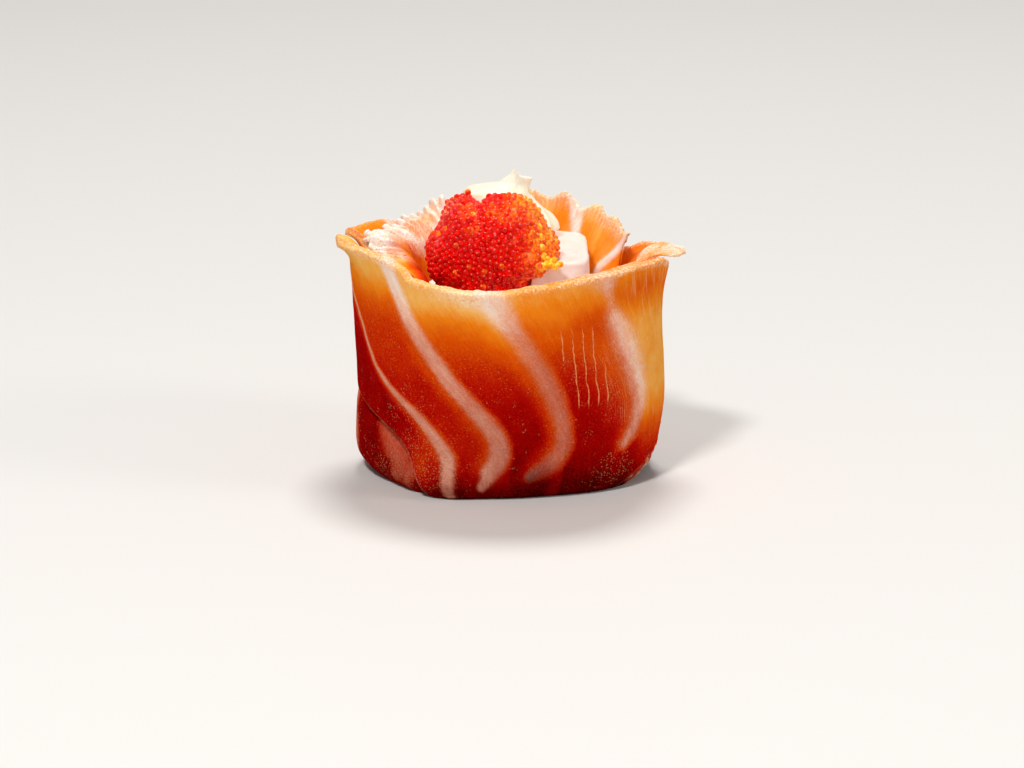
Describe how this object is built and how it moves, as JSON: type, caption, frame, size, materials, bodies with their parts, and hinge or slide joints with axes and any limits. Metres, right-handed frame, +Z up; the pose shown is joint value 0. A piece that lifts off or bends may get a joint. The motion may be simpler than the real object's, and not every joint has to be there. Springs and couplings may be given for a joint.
{
  "type": "salmon rose sushi",
  "caption": "Rose-shaped sushi: raw salmon slices wrapped round a pale filling, topped with a piped dollop of cream and a heap of fish roe.",
  "frame": {"origin": "middle of the flat foot of the filling, on the surface the sushi stands on", "axes": "+Z up, -Y towards the front, where the wide striped slice faces, +X to its right"},
  "size_m": [0.0513, 0.0463, 0.0437],
  "materials": {
    "salmon_front": "wet raw salmon, orange above and red below, with pale fat stripes",
    "salmon_back": "wet raw salmon with pale fat stripes",
    "salmon_inner": "wet raw salmon, lighter orange, with a pale frilled rim",
    "filling": "moist, pinkish white",
    "cream": "smooth ivory cream",
    "roe": "wet, translucent orange-red eggs"
  },
  "bodies": {
    "root": {"salmon_front": "salmon_front", "salmon_back": "salmon_back", "salmon_inner": "salmon_inner", "filling": "filling", "cream": "cream", "roe": "roe"}
  },
  "joints": []
}
